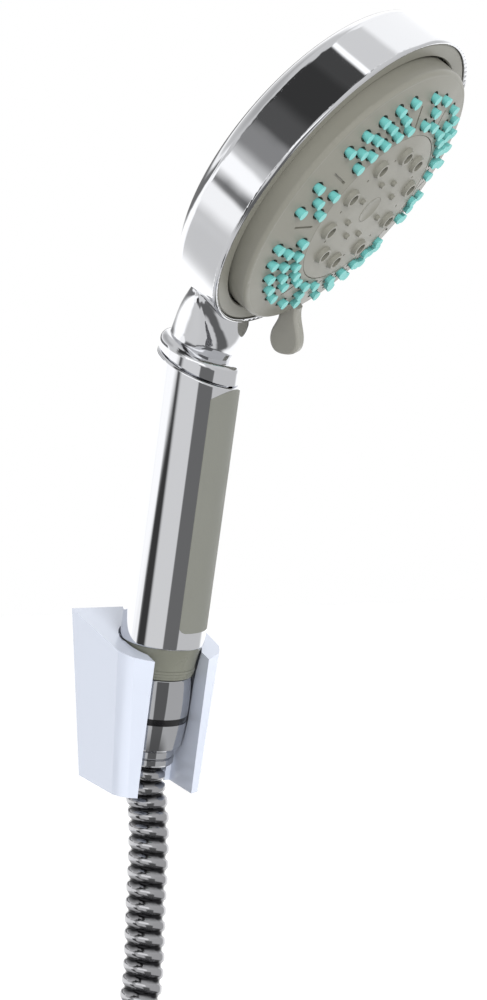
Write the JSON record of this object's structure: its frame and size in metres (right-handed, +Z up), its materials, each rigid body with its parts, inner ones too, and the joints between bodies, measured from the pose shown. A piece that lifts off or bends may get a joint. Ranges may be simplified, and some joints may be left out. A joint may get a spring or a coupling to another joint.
{
  "type": "handheld shower head",
  "caption": "Handheld shower head with a turning spray dial, hung in a wedge-shaped wall holder, with its flexible metal hose and screw-on end nuts.",
  "frame": {"origin": "on the flat back face of the wall holder, on its middle plane, level with the handle's lower rim", "axes": "+Y into the wall, so the handset stands out towards -Y; +Z up; +X to the right as the user faces the wall"},
  "size_m": [0.1778, 0.1402, 0.5187],
  "materials": {
    "chrome_plastic": "bright chrome plating over ABS",
    "chrome_brass": "bright chrome plating over brass",
    "hose_metal": "chromed double-lock metal sheath",
    "grey_plastic": "satin warm grey",
    "grey_soft": "soft grey grip",
    "nozzle_soft": "sea-green silicone, moulded",
    "teal_plastic": "sea-green disc",
    "white_plastic": "moulded water parts",
    "black_rubber": "seals",
    "steel": "stainless",
    "brass": "turned brass"
  },
  "bodies": {
    "bracket": {"wall_bracket": "chrome_plastic"},
    "hose": {"hose_stem": "brass", "hose_ferrule": "chrome_brass", "hose_tube": "hose_metal", "hose_coil": "hose_metal", "hose_tail": "hose_metal", "coil_tie": "black_rubber", "end_ferrule": "chrome_brass", "end_stem": "brass"},
    "end_nut": {"end_nut": "chrome_brass", "end_washer": "black_rubber"},
    "handset": {"hose_nut": "chrome_brass", "nut_ring": "black_rubber", "hose_washer": "black_rubber", "inlet_spigot": "grey_plastic", "flow_regulator": "white_plastic", "filter_screen": "steel", "end_collar": "grey_plastic", "handle_shell": "chrome_plastic", "grip_insert": "grey_soft", "tube_seal": "black_rubber", "waterway_tube": "white_plastic", "head_body": "chrome_plastic", "back_cover": "chrome_plastic", "water_chamber": "white_plastic", "port_plate": "white_plastic", "plate_screws": "steel", "port_seals": "black_rubber", "click_spring": "steel", "click_ball": "steel", "face_seal": "black_rubber", "face_ring": "grey_plastic", "dial_screw": "steel"},
    "dial": {"face_plate": "grey_plastic", "nozzle_mat": "nozzle_soft", "jet_disc": "grey_plastic", "centre_cap": "grey_plastic", "distribution_plate": "white_plastic", "selector_lever": "grey_plastic"},
    "turbine": {"massage_turbine": "white_plastic"}
  },
  "joints": [
    {"name": "handset_lift", "type": "slide", "parent": "bracket", "child": "hose", "axis": [0, -0.2385, 0.9711], "range_m": [0, 0.045]},
    {"name": "handset_swivel", "type": "hinge", "parent": "hose", "child": "handset", "pos_m": [0, -0.0227, 0], "axis": [0, -0.2385, 0.9711], "range_deg": [-104, 46]},
    {"name": "mode_dial", "type": "hinge", "parent": "handset", "child": "dial", "pos_m": [0.02018, -0.09587, 0.14586], "axis": [0.4216, -0.6167, -0.6648], "range_deg": [0, 120]},
    {"name": "turbine_spin", "type": "hinge", "parent": "dial", "child": "turbine", "pos_m": [0.02018, -0.09587, 0.14586], "axis": [0.4216, -0.6167, -0.6648], "continuous": true},
    {"name": "end_nut_spin", "type": "hinge", "parent": "hose", "child": "end_nut", "pos_m": [-0.09121, -0.0581, -0.28583], "axis": [-0.1045, 0, -0.9945], "continuous": true}
  ]
}
